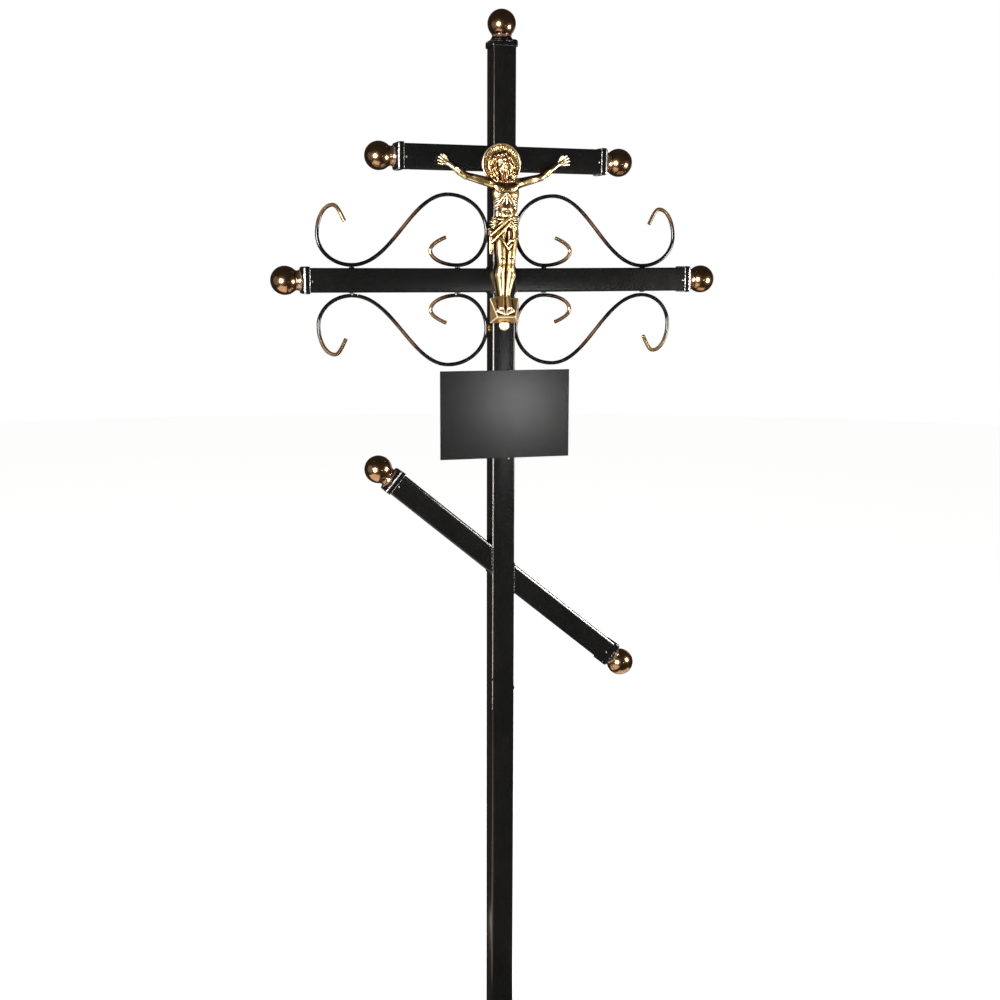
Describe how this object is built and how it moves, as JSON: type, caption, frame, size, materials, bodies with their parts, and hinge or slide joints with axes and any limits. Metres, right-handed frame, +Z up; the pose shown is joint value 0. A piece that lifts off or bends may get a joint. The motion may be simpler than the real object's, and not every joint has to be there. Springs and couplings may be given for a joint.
{
  "type": "wrought iron cross",
  "caption": "Three-bar grave cross of square steel tube with a slanted foot bar, ball finials, scrolls of round rod, a blank nameplate and a gilt cast crucifix figure",
  "frame": {"origin": "on the post's axis at the ground, where the post is cut off flat", "axes": "+Z up along the post; the nameplate and the figure face -Y; +X is to the right seen from the front, the side where the foot bar is low"},
  "size_m": [0.9742, 0.0964, 2.2492],
  "materials": {
    "black_paint": "satin black paint with a fine hammered grain",
    "bronze_lacquer": "glossy dark bronze lacquer",
    "brushed_patina": "black paint with copper and gold patina brushed on tips and diagonals",
    "gilt_casting": "polished gilt with dark toned recesses"
  },
  "bodies": {
    "root": {"post": "black_paint", "upper_left_arm": "black_paint", "upper_right_arm": "black_paint", "main_left_arm": "black_paint", "main_right_arm": "black_paint", "foot_left_arm": "black_paint", "foot_right_arm": "black_paint", "cap_top": "black_paint", "cap_upper_left": "black_paint", "cap_upper_right": "black_paint", "cap_main_left": "black_paint", "cap_main_right": "black_paint", "cap_foot_left": "black_paint", "cap_foot_right": "black_paint", "ball_top": "bronze_lacquer", "ball_upper_left": "bronze_lacquer", "ball_upper_right": "bronze_lacquer", "ball_main_left": "bronze_lacquer", "ball_main_right": "bronze_lacquer", "ball_foot_left": "bronze_lacquer", "ball_foot_right": "bronze_lacquer", "scroll_upper_left": "brushed_patina", "scroll_upper_right": "brushed_patina", "scroll_lower_left": "brushed_patina", "scroll_lower_right": "brushed_patina", "nameplate": "black_paint", "crucifix_figure": "gilt_casting"}
  },
  "joints": []
}
